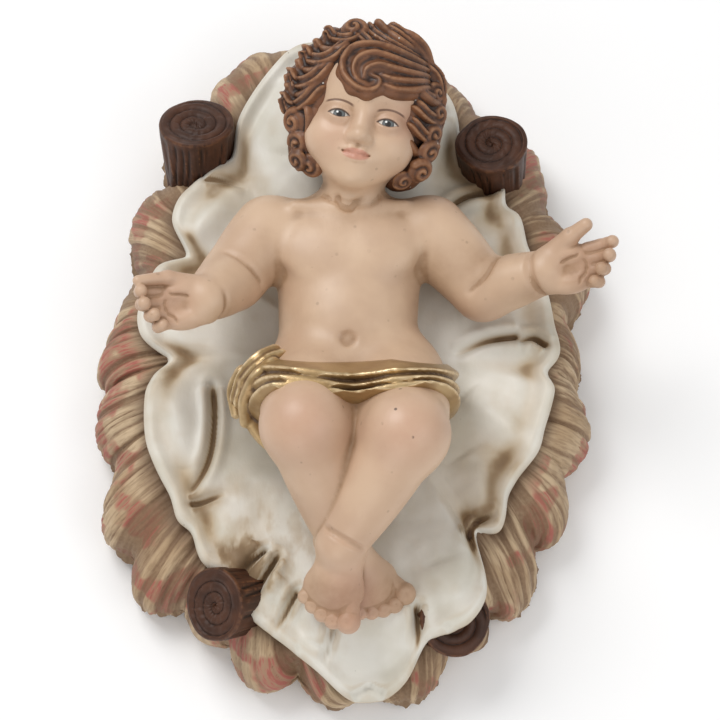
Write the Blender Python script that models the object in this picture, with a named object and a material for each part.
"""Baby Jesus lying in a straw crib: two solids, the child and the crib.

Millimetres while shaping, metres in the finished objects. +Z up, head towards +Y, the child's right hand
towards -X.
"""
import bpy
import numpy as np
from mathutils import Vector
from mathutils.bvhtree import BVHTree

CRIB_LENGTH = 354.0      # head end to foot end
CRIB_WIDTH = 252.0
CRIB_RIM = 47.0          # height of the straw along the sides
RIM_SLOPE = 7.0          # how much higher it is at the head end, and lower at the foot end
STRAW_EDGE_HEIGHT = 13.0  # where the straw is widest
CLOTH_THICKNESS = 6.5
CLOTH_FLARE = 0.42       # how far the cloth's edge rises where it reaches out, as a share of that reach
TAIL_DROOP = 0.8         # share of the height lost under the cloth's tail, at the foot end
LOG_RADIUS = 19.0        # of the thickest log, at the upper left of the head end
LOG_TAPER = 0.72         # radius of a log where it leaves the ground, as a share of its upper end
HEAD_LOG_HEIGHT = 72.0     # of the upper one at the right
FOOT_LOG_HEIGHT = 50.0
CHILD_LENGTH = 285.0     # crown to toes as it lies; its pose and carving below are for this length
HEAD_ROLL = 12.0         # degrees, crown towards +X
HEAD_TILT = 70.0         # degrees, the face looks up at this elevation
SEAT_GAP = 1.2           # the bed is pressed down where it would come closer than this to the child
CLEARANCE = 0.3          # between the child and the crib where they are closest, once it is laid down
CHILD_GRAIN = 1.6        # size of the cubes the skins are worked out on, and of the finished faces
CRIB_GRAIN = 1.9
CHILD_FACES = 5900
CRIB_FACES = 4000
RING_POINTS = 220        # round the crib, before its skin is thinned
LOG_SIDES = 24
FAR = 1000.0
CHILD_SHARE = CHILD_LENGTH / 285.0

for thing in list(bpy.data.objects):
    bpy.data.objects.remove(thing, do_unlink=True)


def unit(v):
    v = np.asarray(v, float)
    return v / np.linalg.norm(v)


def melt(a, b, k):
    """Union of two distances, its seam filled over a width k."""
    h = np.maximum(k - np.abs(a - b), 0.0) / k
    return np.minimum(a, b) - h * h * k * 0.25


def pare(a, b, k):
    """Distance a with shape b taken away, the lip rounded over a width k."""
    return -melt(-a, b, k)


class Egg:
    """An ellipsoid with its radii along three axes."""

    def __init__(self, centre, radii, axes=None):
        self.c = np.array(centre, np.float32)
        self.r = np.array(radii, np.float32) * np.ones(3, np.float32)
        self.m = None if axes is None else np.array(axes, np.float32)
        self.reach = float(self.r.max())

    def bounds(self):
        return self.c - self.reach, self.c + self.reach

    def __call__(self, p):
        q = p - self.c
        if self.m is not None:
            q = q @ self.m.T
        k0 = np.sqrt(np.sum((q / self.r) ** 2, 1))
        k1 = np.sqrt(np.sum((q / self.r**2) ** 2, 1)) + 1e-9
        return k0 * (k0 - 1.0) / k1


class Limb:
    """A rounded bar from a to b, its radius running from ra to rb and swelling by belly halfway."""

    def __init__(self, a, b, ra, rb, belly=0.0):
        self.a, self.b = np.array(a, np.float32), np.array(b, np.float32)
        self.ra, self.rb, self.belly = ra, rb, belly
        self.grow = max(ra, rb) + belly

    def bounds(self):
        return np.minimum(self.a, self.b) - self.grow, np.maximum(self.a, self.b) + self.grow

    def __call__(self, p):
        ab = self.b - self.a
        h = np.clip((p - self.a) @ ab / (ab @ ab), 0, 1)
        q = p - self.a - h[:, None] * ab
        r = self.ra + (self.rb - self.ra) * h + self.belly * 4 * h * (1 - h)
        return np.sqrt(np.sum(q * q, 1)) - r


class Lock:
    """A lock of hair along a line of points, flattened against the head, its radius falling from r0 to r1."""

    def __init__(self, points, outward, r0, r1, flat=0.8):
        self.p = np.array(points, np.float32)
        self.n = np.array(outward, np.float32)
        self.r0, self.r1, self.flat = r0, r1, flat

    def bounds(self):
        return self.p.min(0) - self.r0, self.p.max(0) + self.r0

    def __call__(self, p):
        a, b = self.p[:-1], self.p[1:]
        ab = b - a
        q = p[:, None, :] - a[None]
        h = np.clip(np.einsum("ijk,jk->ij", q, ab) / np.sum(ab * ab, 1), 0, 1)
        q = q - h[..., None] * ab[None]
        i = np.argmin(np.sum(q * q, 2), 1)
        row = np.arange(len(p))
        q, t = q[row, i], (i + h[row, i]) / len(a)
        up = np.sum(q * self.n[i], 1)
        side2 = np.sum(q * q, 1) - up * up
        r = self.r0 + (self.r1 - self.r0) * t
        return (np.sqrt(np.maximum(side2, 0) + (up / self.flat) ** 2) - r) * self.flat


class Clay:
    """Shapes pressed together one after another, kept as the distance to the skin."""

    def __init__(self):
        self.steps = []

    def put(self, shape, k=3.0):
        self.steps.append((shape, k, True))
        return self

    def cut(self, shape, k=1.0):
        self.steps.append((shape, k, False))
        return self

    def bounds(self):
        b = [s.bounds() for s, _, add in self.steps if add]
        return np.min([x[0] for x in b], 0), np.max([x[1] for x in b], 0)

    def __call__(self, p, care=12.0):
        d = np.full(len(p), FAR, np.float32)
        for shape, k, add in self.steps:
            lo, hi = shape.bounds()
            reach = (20.0 if callable(k) else k) + care
            near = np.all((p > lo - reach) & (p < hi + reach), 1)
            if near.any():
                q = p[near]
                s = shape(q, care) if isinstance(shape, Clay) else shape(q)
                join = melt if add else pare
                d[near] = join(d[near], s, k(q) if callable(k) else k)
        return d


def sample(field, low, high, step, block=8):
    """Field values on a grid of cubes, worked out only in the blocks near the skin."""
    low = np.array(low, float)
    nb = np.ceil((np.array(high) - low) / (step * block)).astype(int)
    axes = [low[i] + step * block * (np.arange(nb[i]) + 0.5) - step * 0.5 for i in range(3)]
    mid = np.stack(np.meshgrid(*axes, indexing="ij"), -1).reshape(-1, 3).astype(np.float32)
    half = 0.5 * block * step
    d = field(mid, half * 1.8 + 3 * step)
    live = np.abs(d) < half * 2.0 + 2 * step
    v = np.where(d > 0, FAR, -FAR).astype(np.float32).reshape(nb)
    for axis in range(3):
        v = np.repeat(v, block, axis)
    ids = np.argwhere(live.reshape(nb))
    o = np.stack(np.meshgrid(*[np.arange(block)] * 3, indexing="ij"), -1).reshape(-1, 3)
    for i in range(0, len(ids), 700):
        g = (ids[i:i + 700, None, :] * block + o[None]).reshape(-1, 3)
        v[g[:, 0], g[:, 1], g[:, 2]] = field((low + g * step).astype(np.float32), 3 * step + 1)
    return v, low


def nets(v, low, step):
    """Surface nets: a vertex in each cube the skin crosses, a quad for each crossed edge of the grid."""
    inside = v < 0
    nx, ny, nz = v.shape
    corner = np.array([[i, j, k] for i in (0, 1) for j in (0, 1) for k in (0, 1)])
    count = np.zeros((nx - 1, ny - 1, nz - 1), np.int8)
    for i, j, k in corner:
        count += inside[i:nx - 1 + i, j:ny - 1 + j, k:nz - 1 + k]
    cells = np.argwhere((count > 0) & (count < 8))
    at = cells[:, None, :] + corner[None]
    val = v[at[..., 0], at[..., 1], at[..., 2]].clip(-4 * step, 4 * step)
    total = np.zeros((len(cells), 3))
    n = np.zeros(len(cells))
    for a in range(8):
        for b in range(a + 1, 8):
            if np.abs(corner[a] - corner[b]).sum() == 1:
                cross = (val[:, a] < 0) != (val[:, b] < 0)
                t = val[:, a] / np.where(cross, val[:, a] - val[:, b], 1)
                total += np.where(cross[:, None], corner[a] + t[:, None] * (corner[b] - corner[a]), 0)
                n += cross
    index = np.full((nx - 1, ny - 1, nz - 1), -1, np.int32)
    index[cells[:, 0], cells[:, 1], cells[:, 2]] = np.arange(len(cells))
    quads = []
    for axis in range(3):
        u, w = np.eye(3, dtype=int)[(axis + 1) % 3], np.eye(3, dtype=int)[(axis + 2) % 3]
        a = np.take(inside, np.arange(v.shape[axis] - 1), axis)
        e = np.argwhere(a != np.take(inside, np.arange(1, v.shape[axis]), axis))
        q = np.stack([index[x[:, 0], x[:, 1], x[:, 2]] for x in (e - u - w, e - w, e, e - u)], 1)
        back = ~a[e[:, 0], e[:, 1], e[:, 2]]
        q[back] = q[back][:, ::-1]
        quads.append(q)
    return low + (cells + total / n[:, None]) * step, np.concatenate(quads)


def place(origin, axes, p):
    return np.array(origin, float) + np.array(p, float) @ axes


def square(x, y, z):
    """Three axes made square to each other: along x, towards y, and a normal on the side of z."""
    x = unit(x)
    y = unit(np.array(y) - x * (x @ np.array(y)))
    n = np.cross(x, y)
    return np.array([x, y, n if n @ np.array(z) > 0 else -n])


# the child's joints, as it lies
PELVIS, WAIST, CHEST = (2, -22, 60), (-1, 3.5, 62), (-0.5, 30, 69)
NECK_BASE, NECK_TOP, HEAD = (-0.4, 58, 80), (2, 72, 92), (7.4, 100, 103)
SHOULDER_R, ELBOW_R, WRIST_R = (-40, 50, 75), (-57, 23.5, 80), (-68.5, 2.5, 104)
SHOULDER_L, ELBOW_L, WRIST_L = (40, 50, 75), (65.5, 20, 72), (94.5, 21, 94)
HIP_R, KNEE_R, ANKLE_R = (-17.5, -25, 64), (-21.5, -61, 105), (-2, -111, 68)
HIP_L, KNEE_L, ANKLE_L = (22, -25, 64), (26.5, -65, 105), (-4, -113, 83)

roll, tilt = np.radians(HEAD_ROLL), np.radians(HEAD_TILT)
crown_way = np.array([0, np.sin(tilt), np.cos(tilt)])
right_way = np.array([1.0, 0, 0])
HEAD_AXES = np.array([
    np.cos(roll) * right_way - np.sin(roll) * crown_way,
    np.sin(roll) * right_way + np.cos(roll) * crown_way,
    [0, -np.cos(tilt), np.sin(tilt)],
])


def hand(wrist, axes, curls, thumb):
    """A baby's hand: palm, two pads, four fingers bent by the given angles at each joint, and a thumb."""
    c = Clay()
    for centre, radii, k in (
        ((13, 0, 0), (14.5, 12, 5.8), 3),
        ((9, 6.8, 2.8), (10.5, 5.8, 4.8), 3),
        ((10, -6.8, 2.2), (10.5, 5.4, 4.4), 3),
        ((0, 0, 0), (7, 10, 8.4), 5),
    ):
        c.put(Egg(place(wrist, axes, centre), radii, axes), k)
    for i, (length, r, fan) in enumerate(((14.5, 3.3, 6), (16, 3.4, 1), (14.5, 3.3, -4), (12, 3.0, -10))):
        p0, bend, finger = np.array([22.5 - 0.6 * abs(i - 1), 8.2 - 5.3 * i, 0.6]), 0.0, Clay()
        for share, curl, thin in zip((0.46, 0.3, 0.24), curls[i], (1.0, 0.94, 0.9)):
            bend += np.radians(curl)
            fan_way = np.array([np.cos(np.radians(fan)), np.sin(np.radians(fan))]) * np.cos(bend)
            p1 = p0 + np.array([*fan_way, np.sin(bend)]) * share * length
            a, b = place(wrist, axes, p0), place(wrist, axes, p1)
            finger.put(Limb(a, b, r * thin, r * (thin - 0.04)), 1.2)
            p0 = p1
        c.put(finger, 1.4)
    for a, b, ra, rb in thumb:
        c.put(Limb(place(wrist, axes, a), place(wrist, axes, b), ra, rb), 1.8)
    return c


def foot(ankle, axes, size):
    """A baby's foot: heel, instep, ball and five toes."""
    c = Clay()
    for centre, radii, k in (
        ((-5, 0, -8), (9.5, 8.5, 9), 4),
        ((0, 0, -1), (9, 9.5, 9), 5),
        ((9, 0.5, -4.5), (13, 9.5, 7), 6),
        ((18, 0, -8), (10, 12.4, 5.5), 6),
    ):
        c.put(Egg(place(ankle, axes, np.array(centre) * size), np.array(radii) * size, axes), k)
    for x, y, r in ((27.8, 8.3, 4.4), (28.6, 2.6, 3.3), (27.2, -2, 3.1), (25, -6.2, 2.9), (22.2, -9.9, 2.7)):
        a = place(ankle, axes, np.array((x - 6, y * 0.93, -8.2)) * size)
        b = place(ankle, axes, np.array((x, y, -9.2)) * size)
        c.put(Limb(a, b, r * 0.92 * size, r * size), 1.3)
    return c


def limbs():
    """Both arms with their hands, and both legs with the left shin crossing over the right."""
    arm_r = Clay()
    arm_r.put(Limb(SHOULDER_R, ELBOW_R, 18, 15.5, 1), 4)
    arm_r.put(Limb(ELBOW_R, WRIST_R, 15.6, 10.6, 1.2), 4)
    axes = square((-0.93, -0.27, 0.2), (-0.2, 0.9, 0.3), (0.1, -0.3, 0.95))
    thumb = (((4, 8, 1.5), (17, 13.5, 4), 4.6, 3.4), ((17, 13.5, 4), (32, 14.5, 6), 3.3, 2.6))
    arm_r.put(hand(WRIST_R, axes, ((8, 34, 42), (12, 42, 44), (18, 50, 46), (24, 56, 46)), thumb), 3)
    arm_l = Clay()
    arm_l.put(Limb(SHOULDER_L, ELBOW_L, 18, 15, 1), 4)
    arm_l.put(Limb(ELBOW_L, WRIST_L, 14.6, 10.4, 0.9), 4)
    axes = square((0.95, 0.02, 0.30), (-0.05, 0.95, 0.3), (-0.15, -0.3, 0.95))
    thumb = (((4, 8, 1.5), (15, 14.5, 5), 5.2, 4.4), ((15, 14.5, 5), (24, 19, 8), 4.1, 3.3))
    arm_l.put(hand(WRIST_L, axes, ((4, 16, 20), (10, 34, 36), (16, 46, 44), (24, 56, 46)), thumb), 3)
    leg_r = Clay()
    leg_r.put(Limb(HIP_R, KNEE_R, 25, 19.5, 1.5), 6)
    leg_r.put(Limb(KNEE_R, ANKLE_R, 18.5, 10.2, 1.6), 6)
    leg_r.put(Egg(np.array(KNEE_R) + (0, -1, 2), 19), 5)
    leg_r.put(foot(ANKLE_R, square((25, -29, -9), (0.7, 0.7, 0), (0, -0.4, 0.9)), 1.17), 4)
    leg_l = Clay()
    leg_l.put(Limb(HIP_L, KNEE_L, 25, 19.5, 1.5), 6)
    leg_l.put(Limb(KNEE_L, ANKLE_L, 18.5, 11, 1.8), 6)
    leg_l.put(Egg(np.array(KNEE_L) + (0, -1, 2), 19.5), 5)
    leg_l.put(foot(ANKLE_L, square((-6, -24, -9), (0.95, -0.15, 0.1), (0, -0.4, 0.9)), 1.2), 4)
    legs = Clay().put(leg_r, 4)
    legs.put(leg_l, lambda q: np.clip(7 + (q[:, 1] + 70) * 0.3, 1.2, 14).astype(np.float32))
    return arm_r, arm_l, legs


def torso():
    c = Clay()
    c.put(Egg(CHEST, (35.5, 36, 27)), 4)
    c.put(Egg(WAIST, (34, 34, 27)), 10)
    c.put(Egg(PELVIS, (38, 27, 26)), 10)
    c.put(Limb((-30, 49, 74), (30, 49, 74), 16.5, 16.5, 2.5), 12)
    c.put(Limb(NECK_BASE, NECK_TOP, 16, 14), 9)
    for s in (-1, 1):
        c.put(Egg((s * 16 - 0.5, 35, 88), (17, 14, 7.5)), 7)
    c.put(Egg((-1, 2, 74), (25, 24, 19)), 10)
    return c


def head():
    """A child's head in its own axes (right, crown, forward): skull, cheeks, chin, brow, nose and mouth."""
    c = Clay()
    c.put(Egg(place(HEAD, HEAD_AXES, (0, 6, -6)), (30.5, 32, 34), HEAD_AXES), 4)
    c.put(Egg(place(HEAD, HEAD_AXES, (0, -10, 2)), (25.5, 27, 24), HEAD_AXES), 8)
    for s in (-1, 1):
        c.put(Egg(place(HEAD, HEAD_AXES, (s * 14, -15, 14)), (12, 12, 11.5), HEAD_AXES), 8)
    c.put(Egg(place(HEAD, HEAD_AXES, (0, -27, 14)), (13, 9.5, 10), HEAD_AXES), 8)
    c.put(Egg(place(HEAD, HEAD_AXES, (0, -31, 19.5)), (6.5, 5.5, 5.5), HEAD_AXES), 6)
    c.put(Egg(place(HEAD, HEAD_AXES, (0, 14, 15)), (23, 16, 12), HEAD_AXES), 8)
    for s in (-1, 1):
        c.cut(Egg(place(HEAD, HEAD_AXES, (s * 12, -3.2, 30)), (8.5, 5.6, 6), HEAD_AXES), 7)
        c.put(Egg(place(HEAD, HEAD_AXES, (s * 12, -4, 19.2)), 7.6), 1.6)
    c.put(Limb(place(HEAD, HEAD_AXES, (0, -2, 24.5)), place(HEAD, HEAD_AXES, (0, -12, 28.6)), 3, 3.6), 5)
    c.put(Egg(place(HEAD, HEAD_AXES, (0, -12.8, 28.6)), (5.5, 3.4, 4), HEAD_AXES), 3)
    c.put(Egg(place(HEAD, HEAD_AXES, (0, -21.5, 23.5)), (8.5, 4.6, 5), HEAD_AXES), 3)
    return c


def on_hair(u, v, lift):
    """The point of the cap of hair seen at (u, v) from the front, raised by lift, and the way out there."""
    x, y = u * np.cos(roll) - v * np.sin(roll), u * np.sin(roll) + v * np.cos(roll)
    s = (x / 33.0) ** 2 + ((y - 5) / 35.0) ** 2
    z = -6 + 35 * np.sqrt(np.maximum(1 - s, 0.1))
    n = np.stack([x / 33.0**2, (y - 5) / 35.0**2, (z + 6) / 35.0**2], -1)
    n /= np.linalg.norm(n, axis=-1, keepdims=True)
    return np.stack([x, y, z], -1) + n * np.asarray(lift)[..., None], n


def curve(points, n):
    """A smooth line of n points through the given ones."""
    p = np.array(points, float)
    p = np.vstack([2 * p[0] - p[1], p, 2 * p[-1] - p[-2]])
    s = np.linspace(0, len(p) - 3 - 1e-6, n)
    i = s.astype(int)
    t = (s - i)[:, None]
    a, b, c, d = p[i], p[i + 1], p[i + 2], p[i + 3]
    return 0.5 * (2 * b + (c - a) * t + (2 * a - 5 * b + 4 * c - d) * t**2 + (3 * b - a - 3 * c + d) * t**3)


# locks of hair seen from the front, (right, up) in mm from the middle of the head: the line, both half widths
CURLS = (
    (((28, 22.5), (20, 25.5), (12, 28.5), (3, 30.5), (-5, 29), (-9.5, 23), (-9, 16.5), (-4.5, 11), (1, 9),
      (5.5, 10.5), (6.5, 14), (3.5, 16)), 3.6, 1.6),
    (((28, 20), (20, 21.5), (12, 24), (4, 26), (-2.5, 24), (-5, 19), (-3.5, 14), (0.5, 12)), 3.2, 1.5),
    (((28, 17), (20, 17.5), (12, 19), (6, 20.5), (1, 19), (-0.5, 15.5)), 3.2, 1.6),
    (((28, 14.5), (20, 13.5), (13, 14), (8, 16)), 3.2, 1.8),
    (((28, 11.5), (21, 9.5), (14, 9.5), (9, 11.5)), 3.4, 1.8),
    (((1.5, 41), (4, 36), (10, 31.5), (18, 28), (27, 24)), 3.8, 2.6),
    (((7, 42.5), (9.5, 38), (14.5, 34), (21, 30), (28.5, 25.5)), 3.8, 2.6),
    (((13, 41), (16.5, 37.5), (21, 33.5), (26, 29), (30, 25)), 3.8, 2.6),
    (((19, 38), (23.5, 34.5), (28, 30), (31, 24.5)), 3.6, 2.6),
    (((1, 33), (-4, 36.5), (-9, 38), (-14, 37.5)), 3.8, 2.8),
    (((-26, 4), (-24.5, -3), (-25.5, -9), (-29, -14)), 3.8, 2.8),
    (((31, 22), (34, 17), (35.5, 11), (35, 6)), 3.6, 2.6),
    (((26, 10), (30, 8), (33, 10.5), (33.5, 15)), 3.2, 2),
)
# waves down both sides: first and last point, and how far the lock sags between them
WAVES = (
    ((-3, 36), (-17, 39), 4.5), ((-7, 32.5), (-22.5, 34), 5.5), ((-10.5, 29), (-27, 29.5), 6),
    ((-14, 25), (-31, 24.5), 6), ((-17.5, 20.5), (-34, 19), 6), ((-20, 15.5), (-36, 13.5), 6),
    ((-22, 10.5), (-37.5, 8), 5.5), ((-24.5, -9), (-36.5, -11), 4), ((-24.5, -15), (-35.5, -17), 4),
    ((-24, -21), (-33, -22.5), 3.5), ((25.5, 9), (37, 6), 4), ((25, 3), (37.5, 0), 4.5),
    ((24, -3), (37, -6), 4.5), ((22, -9.5), (35, -12.5), 4.5), ((19.5, -16), (33, -18.5), 4.5),
    ((17, -22.5), (30, -24), 4), ((14, -28.5), (26, -29.5), 3.5),
)
WAVE_WIDTHS = (4.2, 3.4)
# snail curls (right, up, size, turn), rows of them behind by height and count, and masses under the locks
SNAILS = (
    (-5, 40.5, 8.5, 1), (-33.5, -4.5, 8.5, 1), (-29, -12.5, 7, -1), (34, 3.5, 7, 1), (30, -8, 6.5, -1),
    (24, -20, 6, 1),
)
BEHIND = ((30, 11), (12, 9), (-7, 9), (-25, 8))
HAIR_MASSES = (
    ((-26, -16, -11), (9, 16, 12)), ((28, -13, -11), (8, 17, 12)), ((22, -24, -9), (9, 9, 9)),
    ((-11, 34, -4), (9, 8, 12)),
)


def spiral(centre, across, up, out, size, turn, start):
    """A snail-shaped line that winds inwards and rises as it goes."""
    t = np.linspace(0, 1, 15)
    a = start + turn * t * 2.3 * np.pi
    r = size * (0.62 - 0.5 * t)
    turns = (r * np.cos(a))[:, None] * across + (r * np.sin(a))[:, None] * up
    return centre + turns + (size * 0.3 * t)[:, None] * out


def wave(start, end, sag):
    """A lock that hangs from its first point to its last, as a line with both half widths."""
    share = np.linspace(0, 1, 7)[:, None]
    line = np.array(start) + share * np.subtract(end, start) - np.sin(np.pi * share) ** 0.8 * (0, sag)
    return line, *WAVE_WIDTHS


def hair():
    """A cap over the skull with the locks laid on it, each raised in the middle, and the curls."""
    c = Clay()
    cap = Clay().put(Egg(place(HEAD, HEAD_AXES, (0, 5, -6)), (32.5, 34.5, 35), HEAD_AXES), 3)
    cut_way = unit((0, -1, 1.05))
    cap.cut(Egg(place(HEAD, HEAD_AXES, np.array((0, 6, 4)) + cut_way * 80), 80), 4)
    c.put(cap, 2)
    for centre, radii in HAIR_MASSES:
        c.put(Egg(place(HEAD, HEAD_AXES, centre), radii, HEAD_AXES), 3)
    for line, r0, r1 in CURLS + tuple(wave(*row) for row in WAVES):
        line = curve(line, 19)
        p, n = on_hair(line[:, 0], line[:, 1], 1.2 + 2 * np.sin(np.pi * np.linspace(0, 1, 19) ** 0.8))
        p, n = place(HEAD, HEAD_AXES, p), n @ HEAD_AXES
        for i in range(0, 18, 3):
            under = [p[k] - n[k] * r0 * 1.15 for k in (i, i + 3)]
            c.put(Limb(*under, r0 * 1.3, r0 * 1.3), 1.5)
        c.put(Lock(p, n[:-1], r0, r1), 0.8)
    spots = []
    for u, v, size, turn in SNAILS:
        p, n = on_hair(np.float64(u), np.float64(v), 0.6)
        spots.append((p + (0, 0, 4), n, size, turn))
    for row, (y, count) in enumerate(BEHIND):
        for i in range(count):
            a = np.pi * (0.02 + 0.96 * (i + 0.5 * (row % 2)) / (count - 0.5))
            ring = np.sqrt(max(0.05, 1 - ((y - 5) / 35.0) ** 2))
            p = np.array([33 * ring * np.cos(a), y, -6 - 35 * ring * np.sin(a) ** 0.8])
            n = unit((p - (0, 5, -6)) / np.array((33.0, 35.0, 35.0)) ** 2)
            spots.append((p + n * 0.6, n, 7.2, 1 if (i + row) % 2 else -1))
    for k, (p, n, size, turn) in enumerate(spots):
        across = unit(np.cross((0.2, 1, 0.1), n))
        up = np.cross(n, across)
        line = place(HEAD, HEAD_AXES, spiral(p, across, up, n, size, turn, 1.7 * k))
        ball = (size * 0.8, size * 0.8, size * 0.5)
        c.put(Egg(place(HEAD, HEAD_AXES, p), ball, np.array([across, up, n]) @ HEAD_AXES), 1.5)
        c.put(Lock(line, np.tile(n @ HEAD_AXES, (len(line) - 1, 1)), size * 0.36, size * 0.2), 0.7)
    return c


FOLD_COUNT, FOLD_HEIGHT = 4, 3.0
# the gathers at the right hip and the end behind the thigh: points, then the first and last half width
KNOT = (
    (((-36, -20, 86), (-43, -24, 89), (-50, -30, 84), (-54, -38, 76)), 6.5, 4.5),
    (((-38, -27, 92), (-45, -33, 90), (-50, -41, 82), (-50, -48, 73)), 5.5, 4),
    (((-52, -26, 78), (-56, -33, 74), (-55, -42, 68)), 5, 3.5),
    (((-50, -33, 84), (-46, -38, 86), (-42, -40, 88)), 4.5, 3.5),
    (((-49, -42, 74), (-44, -52, 69), (-36, -60, 65), (-30, -67, 62)), 5.5, 3.5),
)


def ease(t):
    """0 below 0, 1 above 1, and a smooth step between."""
    t = np.clip(t, 0, 1)
    return t * t * (3 - 2 * t)


class Loincloth:
    """A band of cloth round the hips: the body grown by the cloth's thickness between two slanting edges,
    with rounded folds that dip in the middle."""

    def __init__(self, body):
        self.body = body

    def bounds(self):
        return np.array((-56.0, -66, 30)), np.array((60.0, 6, 112))

    def __call__(self, p):
        x, y, z = p[:, 0], p[:, 1], p[:, 2]
        sag = 3.5 * np.cos(np.clip((x - 4) / 30, -1.5, 1.5)) - 0.04 * x
        top = -(y + 19) + 0.38 * (88 - z) - sag * 0.5
        reach = 20 + (100 - z) * 0.5 + sag * 1.6 + 0.08 * np.clip(x - 10, 0, 40)
        dip = 4.5 * np.cos(np.clip((x - 2) / 24, -1.6, 1.6)) * ease((z - 60) / 20)
        fold = (top - dip * np.sin(np.pi * np.clip(top / reach, 0, 1))) / reach
        ridge = (0.5 - 0.5 * np.cos(2 * np.pi * FOLD_COUNT * np.clip(fold, 0, 1))) ** 0.8 * FOLD_HEIGHT
        skin = self.body(p, 14.0) - (1.8 + ridge * np.clip((z - 45) / 20, 0.25, 1))
        return -melt(-skin, np.minimum(top, reach - top) * 0.8, 2.0)


def child():
    c = Clay()
    trunk = torso()
    arm_r, arm_l, legs = limbs()
    c.put(trunk, 4)
    c.put(arm_r, 6)
    c.put(arm_l, 6)
    c.put(legs, 9)
    hips = Clay().put(trunk, 4)
    for hip, knee in ((HIP_R, KNEE_R), (HIP_L, KNEE_L)):
        hips.put(Limb(hip, knee, 25, 19.5, 1.5), 16)
    c.put(Loincloth(hips), 0.8)
    for line, r0, r1 in KNOT:
        line = curve(line, 12)
        outward = line - (-20, -25, 60)
        outward /= np.linalg.norm(outward, axis=1, keepdims=True)
        c.put(Lock(line, outward[:-1], r0, r1, 0.9), 0.8)
    c.put(head(), 5)
    c.put(hair(), 1.2)
    return c


# outline of the straw as (degrees clockwise from the head end, radius): notch and crest in turn
STRAW = (
    (2, 178), (27, 155), (32, 158), (52, 134), (64, 138), (80, 114), (90, 121), (97, 117), (110, 130),
    (118, 123), (130, 140), (135, 135), (147, 155), (151, 147), (156, 160), (161, 156), (169, 176),
    (176, 168), (182, 175), (188, 160), (194, 172), (201, 155), (206, 158), (212, 149), (219, 160),
    (226, 146), (231, 149), (244, 126), (252, 131), (263, 120), (268, 125), (278, 119), (282, 120),
    (294, 116), (311, 138), (317, 135), (329, 166), (334, 164), (346, 180), (349, 177),
)
# outline of the cloth in the same terms
CLOTH = (
    (0, 160), (21, 144), (25, 136), (30, 118), (40, 117), (44, 118), (48, 108), (53, 111), (61, 105),
    (85, 105), (93, 108), (97, 104), (99, 98), (101, 107), (114, 108), (120, 111), (128, 109), (134, 111),
    (139, 120), (143, 124), (146, 108), (148, 125), (150, 142), (155, 153), (160, 157), (164, 154),
    (166, 147), (167, 163), (171, 174), (176, 178), (180, 175), (183, 166), (190, 155), (197, 147),
    (201, 142), (204, 129), (207, 131), (211, 132), (215, 126), (218, 119), (221, 123), (227, 115),
    (242, 110), (256, 101), (262, 94), (265, 84), (268, 93), (271, 101), (277, 104), (294, 102),
    (299, 93), (302, 90), (304, 104), (307, 109), (312, 113), (327, 115), (331, 114), (334, 128),
    (338, 136), (346, 151), (351, 160),
)
# height of the bed along the length, from foot to head
BED = (
    (-185, 34), (-160, 44), (-137, 49), (-112, 48), (-90, 37), (-60, 31), (-20, 33), (30, 41), (62, 51),
    (100, 63), (140, 62), (175, 54),
)
# folds pressed into the cloth: points in plan, then height (ridge above zero, groove below) and half width
FOLDS = (
    (((-84, 52), (-66, 70), (-55, 92)), 6, 9), (((-74, 86), (-64, 86), (-52, 81)), -4, 4),
    (((-68, -21), (-67, -37), (-68, -53), (-72, -66), (-79, -78)), -6, 4.5),
    (((-98, -20), (-86, -40), (-84, -64)), 6, 9), (((-78, -82), (-71, -80), (-61, -76)), -4, 4),
    (((-40, -105), (-48, -111), (-57, -120)), -5, 4), (((-35, -108), (-43, -122), (-52, -135)), -6, 4),
    (((-25, -126), (-30, -135), (-36, -147)), -5, 4), (((-46, -100), (-54, -108), (-62, -112)), 4, 4.5),
    (((-33, -118), (-39, -129), (-44, -138)), 5, 4.5), (((-17, -152), (-13, -135), (-12, -115)), 5, 6),
    (((-8, -142), (-10, -150), (-13, -160)), -4, 3.5), (((32, -133), (33, -145), (32, -155)), -6, 4),
    (((54, -148), (50, -130), (44, -112)), 6, 10), (((58, -98), (62, -90), (72, -87)), -6, 4.5),
    (((84, -96), (68, -74), (56, -56)), 6, 8), (((98, -60), (74, -40), (58, -24)), 5, 8),
    (((98, -2), (91, 3), (84, 1)), -6, 4), (((84, 4), (67, 2), (52, -4)), -4.5, 5),
    (((94, 30), (74, 28), (52, 22)), 5, 8), (((84, 62), (66, 62), (50, 58)), 5, 7),
    (((82, 82), (65, 79), (55, 75), (46, 67)), -6, 4.5), (((50, 120), (45, 103), (41, 84)), 5, 7),
    (((-30, 140), (-30, 118), (-34, 98)), 4, 8),
)
# logs that prop the crib at its corners: the middle of the upper face, the way it looks, radius as a share
LOGS = (
    ((-78, 113, HEAD_LOG_HEIGHT - 4), (0, 0.45, 0.89), 1.0),
    ((71, 100, HEAD_LOG_HEIGHT), (-0.08, 0.2, 0.97), 0.94),
    ((-65.5, -133.5, FOOT_LOG_HEIGHT), (-0.6, -0.27, 0.75), 0.92),
    ((51, -139, FOOT_LOG_HEIGHT - 7), (0.25, -0.25, 0.94), 0.92),
)
MIDDLE = (-3.0, 0.0)
TAIL_ANGLE = 176         # the cloth's tail hangs over the foot end here, degrees clockwise from the head end
# the outlines above are drawn for a crib 252 wide and 354 long
WIDE, LONG = CRIB_WIDTH / 252.0, CRIB_LENGTH / 354.0


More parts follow.
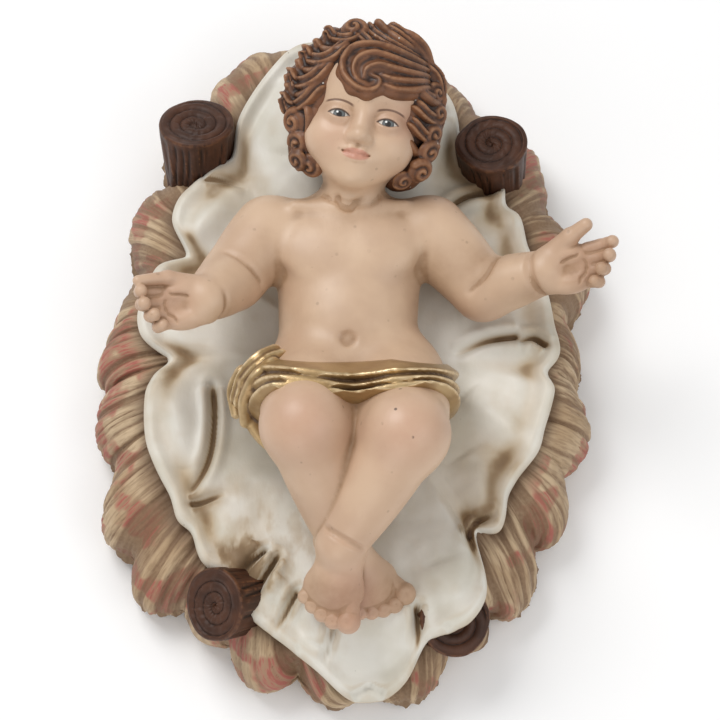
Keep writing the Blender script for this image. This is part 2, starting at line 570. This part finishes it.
def crested(angle, marks):
    """Radius at an angle between alternating notches (sharp) and crests (round)."""
    a, r = np.array(marks).T
    a, r = np.append(a, a[0] + 360), np.append(r, r[0])
    g = np.where(angle < a[0], angle + 360, angle)
    i = np.clip(np.searchsorted(a, g, "right") - 1, 0, len(a) - 2)
    t = (g - a[i]) / (a[i + 1] - a[i])
    rise = np.where(r[i + 1] > r[i], np.sin(t * np.pi / 2) ** 0.9, 1 - np.sin((1 - t) * np.pi / 2) ** 0.9)
    return r[i] + (r[i + 1] - r[i]) * rise


def softened(angle, marks):
    """Radius at an angle on a smooth closed line through the marks."""
    a, r = np.array(marks).T
    fine = np.arange(0, 360, 0.25)
    v = np.interp(fine, a, r, period=360)
    w = np.exp(-0.5 * (np.arange(-12, 13) / 4.0) ** 2)
    v = np.convolve(np.concatenate([v[-12:], v, v[:12]]), w / w.sum(), "valid")
    return np.interp(angle, fine, v, period=360)


def smoothed(values, reach):
    """Values round a ring averaged over a reach on either side."""
    around = np.concatenate([values[-reach:], values, values[:reach]])
    return np.convolve(around, np.ones(2 * reach + 1) / (2 * reach + 1), "valid")


def fold_relief(x, y):
    """Sum of the folds: each falls off with the distance to its line and fades towards its ends."""
    z = np.zeros_like(x)
    for line, height, width in FOLDS:
        p = curve(line, 12)
        best, share = np.full(x.shape, FAR), np.zeros_like(x)
        for i in range(len(p) - 1):
            ab = p[i + 1] - p[i]
            h = np.clip(((x - p[i, 0]) * ab[0] + (y - p[i, 1]) * ab[1]) / (ab @ ab), 0, 1)
            d = np.hypot(x - p[i, 0] - h * ab[0], y - p[i, 1] - h * ab[1])
            near = d < best
            best, share = np.where(near, d, best), np.where(near, (i + h) / 11, share)
        z += height * np.exp(-(best / width) ** 2) * np.sqrt(np.clip(1 - share, 0, 1))
    return z


def mound(angle, r, edge_c, edge_s):
    """Height of the straw: a bowl inside the cloth's edge, a rounded shoulder outside, low under the tail."""
    a = np.radians(angle)
    x, y = MIDDLE[0] + r * np.sin(a), MIDDLE[1] + r * np.cos(a)
    crest = CRIB_RIM + RIM_SLOPE * np.cos(a)
    bed = np.interp(y, *np.array(BED).T) * CHILD_SHARE
    bowl = bed + (crest - bed) * ease((r / edge_c - 0.3) / 0.66)
    t = np.clip((r - 0.95 * edge_c) / (edge_s - 0.95 * edge_c), 0, 1)
    shoulder = STRAW_EDGE_HEIGHT + (crest - STRAW_EDGE_HEIGHT) * np.sqrt(1 - t**2.2)
    z = np.where(r < 0.95 * edge_c, bowl, shoulder)
    droop = TAIL_DROOP * ease((r - 128) / 44) * np.exp(-((angle - TAIL_ANGLE) / 11) ** 2)
    return z - droop * np.maximum(z - STRAW_EDGE_HEIGHT, 0)


# rings of the cloth as shares of its outline, closer together at the edge
CLOTH_RINGS = (0.02, 0.1, 0.2, 0.3, 0.4, 0.5, 0.58, 0.66, 0.74, 0.81, 0.87, 0.92, 0.955, 0.98, 0.995, 1.0)


def crib_skin(columns):
    """Rings of points from the middle of the bed over the cloth, down the straw and in to the floor."""
    angle = np.arange(columns) * 360.0 / columns
    a = np.radians(angle)
    edge_s = crested(angle, STRAW)
    over = 9 * np.exp(-((angle - TAIL_ANGLE) / 8) ** 2) - 3
    edge_c = np.minimum(softened(angle, CLOTH), edge_s + over)
    flare = CLOTH_FLARE * np.clip(edge_c - smoothed(edge_c, columns // 12), -14, 14)
    rows = []
    for share in CLOTH_RINGS:
        r = share * edge_c
        x, y = MIDDLE[0] + r * np.sin(a), MIDDLE[1] + r * np.cos(a)
        lip = np.sqrt(np.clip(1 - np.clip((share - 0.955) / 0.048, 0, 1) ** 2, 0, 1))
        z = mound(angle, r, edge_c, edge_s) + CLOTH_THICKNESS * lip + flare * ease((share - 0.6) / 0.35)
        z += fold_relief(x, y) * ease((1.06 - share) / 0.16)
        rows.append(np.stack([x, y, z], 1))
    for t in (0.0, 0.12, 0.35, 0.6, 0.8, 0.93, 1.0):
        r = edge_c + (edge_s - edge_c) * t - (0.6 if t == 0 else 0)
        z = mound(angle, r, edge_c, edge_s) - (0.8 if t == 0 else 0)
        rows.append(np.stack([MIDDLE[0] + r * np.sin(a), MIDDLE[1] + r * np.cos(a), z], 1))
    for inward, z in ((1.0, 0.55), (3.5, 0.2), (7.0, 0.0)):
        r = edge_s - inward
        z = np.full(columns, z * STRAW_EDGE_HEIGHT)
        rows.append(np.stack([MIDDLE[0] + r * np.sin(a), MIDDLE[1] + r * np.cos(a), z], 1))
    return np.array(rows) * (WIDE, LONG, 1)


def solid(name, vertices, faces, colour):
    mesh = bpy.data.meshes.new(name)
    mesh.from_pydata([tuple(map(float, v)) for v in vertices], [], [tuple(map(int, f)) for f in faces])
    mesh.validate()
    thing = bpy.data.objects.new(name, mesh)
    bpy.context.scene.collection.objects.link(thing)
    material = bpy.data.materials.new(name)
    material.use_nodes = True
    material.node_tree.nodes["Principled BSDF"].inputs["Base Color"].default_value = (*colour, 1)
    mesh.materials.append(material)
    return thing


def refined(thing, grain, faces):
    """Remeshed as one closed skin and thinned to a number of triangles."""
    remesh = thing.modifiers.new("remesh", "REMESH")
    remesh.mode = "VOXEL"
    remesh.voxel_size = grain
    thin = thing.modifiers.new("thin", "DECIMATE")
    deps = bpy.context.evaluated_depsgraph_get()
    thin.ratio = 1.0
    full = len(thing.evaluated_get(deps).to_mesh().polygons)
    thin.ratio = faces / (2.0 * full)
    bpy.context.view_layer.update()
    deps = bpy.context.evaluated_depsgraph_get()
    mesh = bpy.data.meshes.new_from_object(thing.evaluated_get(deps))
    thing.modifiers.clear()
    old, thing.data = thing.data, mesh
    bpy.data.meshes.remove(old)
    mesh.name = thing.name
    return thing


def biggest_shell(vertices, faces):
    """The part of a mesh that hangs together and has the most vertices."""
    label = np.arange(len(vertices))
    while True:
        low = label[faces].min(1)
        new = label.copy()
        for k in range(4):
            np.minimum.at(new, faces[:, k], low)
        new = new[new]
        if (new == label).all():
            break
        label = new
    keep = label == np.bincount(label).argmax()
    index = np.cumsum(keep) - 1
    return vertices[keep], index[faces[keep[faces[:, 0]]]]


def pressed(rings, child_solid):
    """The rings with each point lowered to SEAT_GAP under the child where the child lies on it."""
    tree = BVHTree.FromObject(child_solid, bpy.context.evaluated_depsgraph_get())
    for ring in rings:
        for v in ring:
            for dx, dy in ((0, 0), (GRIP, 0), (-GRIP, 0), (0, GRIP), (0, -GRIP)):
                hit = tree.ray_cast(Vector((v[0] + dx, v[1] + dy, 0)), Vector((0, 0, 1)))[0]
                if hit is not None and hit.z < v[2] + BED_SINK:
                    v[2] = min(v[2], hit.z - SEAT_GAP)


def crib():
    """Skin rings closed at the top and the bottom, and four logs, each a closed barrel that overlaps it."""
    rings = crib_skin(RING_POINTS)
    pressed(rings[:len(CLOTH_RINGS)], child_solid)
    count, n = rings.shape[:2]
    poles = [(MIDDLE[0], MIDDLE[1], rings[0, :, 2].mean()), (MIDDLE[0], MIDDLE[1], 0)]
    points = np.vstack([rings.reshape(-1, 3), poles])
    i, j = np.meshgrid(np.arange(count - 1), np.arange(n), indexing="ij")
    k = (j + 1) % n
    quads = np.stack([i * n + j, (i + 1) * n + j, (i + 1) * n + k, i * n + k], -1).reshape(-1, 4)
    faces = [tuple(q) for q in quads]
    last = (count - 1) * n
    for k in range(n):
        faces.append((count * n, k, (k + 1) % n))
        faces.append((count * n + 1, last + (k + 1) % n, last + k))
    turn = np.radians(np.arange(LOG_SIDES) * 360.0 / LOG_SIDES)
    for face_point, way, share in LOGS:
        way = unit(way)
        b = np.array(face_point) * (WIDE, LONG, 1)
        a = b - way * (b[2] / way[2] - LOG_LIFT)
        radius = LOG_RADIUS * share
        across = unit(np.cross(way, (0, 1, 0)))
        circle = np.cos(turn)[:, None] * across + np.sin(turn)[:, None] * np.cross(way, across)
        levels = ((a, radius * LOG_TAPER), (b - way * LOG_ROUNDING, radius), (b, radius - LOG_ROUNDING))
        first = len(points)
        points = np.vstack([points] + [c + r * circle for c, r in levels] + [[a], [b]])
        end = first + 3 * LOG_SIDES
        for k in range(LOG_SIDES):
            m = (k + 1) % LOG_SIDES
            for p in (first, first + LOG_SIDES):
                faces.append((p + k, p + m, p + LOG_SIDES + m, p + LOG_SIDES + k))
            faces.append((end, first + m, first + k))
            faces.append((end + 1, end - LOG_SIDES + k, end - LOG_SIDES + m))
    return points, faces


GRIP = 2.5               # the bed is pressed down this far round each point the child lies on
BED_SINK = 15.0          # how deep the child may sink into the bed as it is first drawn
LOG_LIFT = 6.0           # the lower end of a log stays this far above the ground, measured along it
LOG_ROUNDING = 1.5       # of a log's upper rim
FLOOR_BAND = 0.8         # points lower than this are set on the floor

field = child()
low, high = field.bounds()
values, low = sample(field, low - 6, high + 6, CHILD_GRAIN)
points, quads = biggest_shell(*nets(values, low, CHILD_GRAIN))
child_solid = solid("child", points * CHILD_SHARE, quads, (0.78, 0.56, 0.42))
child_solid = refined(child_solid, CHILD_GRAIN * 0.95, CHILD_FACES)
crib_solid = refined(solid("crib", *crib(), (0.62, 0.5, 0.36)), CRIB_GRAIN, CRIB_FACES)
for vertex in crib_solid.data.vertices:
    if vertex.co.z < FLOOR_BAND:
        vertex.co.z = 0.0

# the child is lowered until its closest point is CLEARANCE above the crib
child_tree, crib_tree = (BVHTree.FromObject(thing, bpy.context.evaluated_depsgraph_get())
                         for thing in (child_solid, crib_solid))
gaps = []
for vertex in child_solid.data.vertices:
    hit = crib_tree.ray_cast(vertex.co + Vector((0, 0, CHILD_LENGTH)), Vector((0, 0, -1)))[0]
    if hit is not None and hit.z < vertex.co.z + BED_SINK:
        gaps.append(vertex.co.z - hit.z)
for vertex in crib_solid.data.vertices:
    if vertex.co.z > STRAW_EDGE_HEIGHT / 2:
        hit = child_tree.ray_cast(Vector((vertex.co.x, vertex.co.y, 0)), Vector((0, 0, 1)))[0]
        if hit is not None:
            gaps.append(hit.z - vertex.co.z)
for vertex in child_solid.data.vertices:
    vertex.co.z -= min(gaps) - CLEARANCE

# both are moved so that the middle of their common box stands over the origin
corners = np.array([v.co for thing in (child_solid, crib_solid) for v in thing.data.vertices])
middle = (corners.min(0) + corners.max(0)) / 2
for thing in (child_solid, crib_solid):
    for vertex in thing.data.vertices:
        vertex.co = (vertex.co - Vector((middle[0], middle[1], 0))) * 0.001
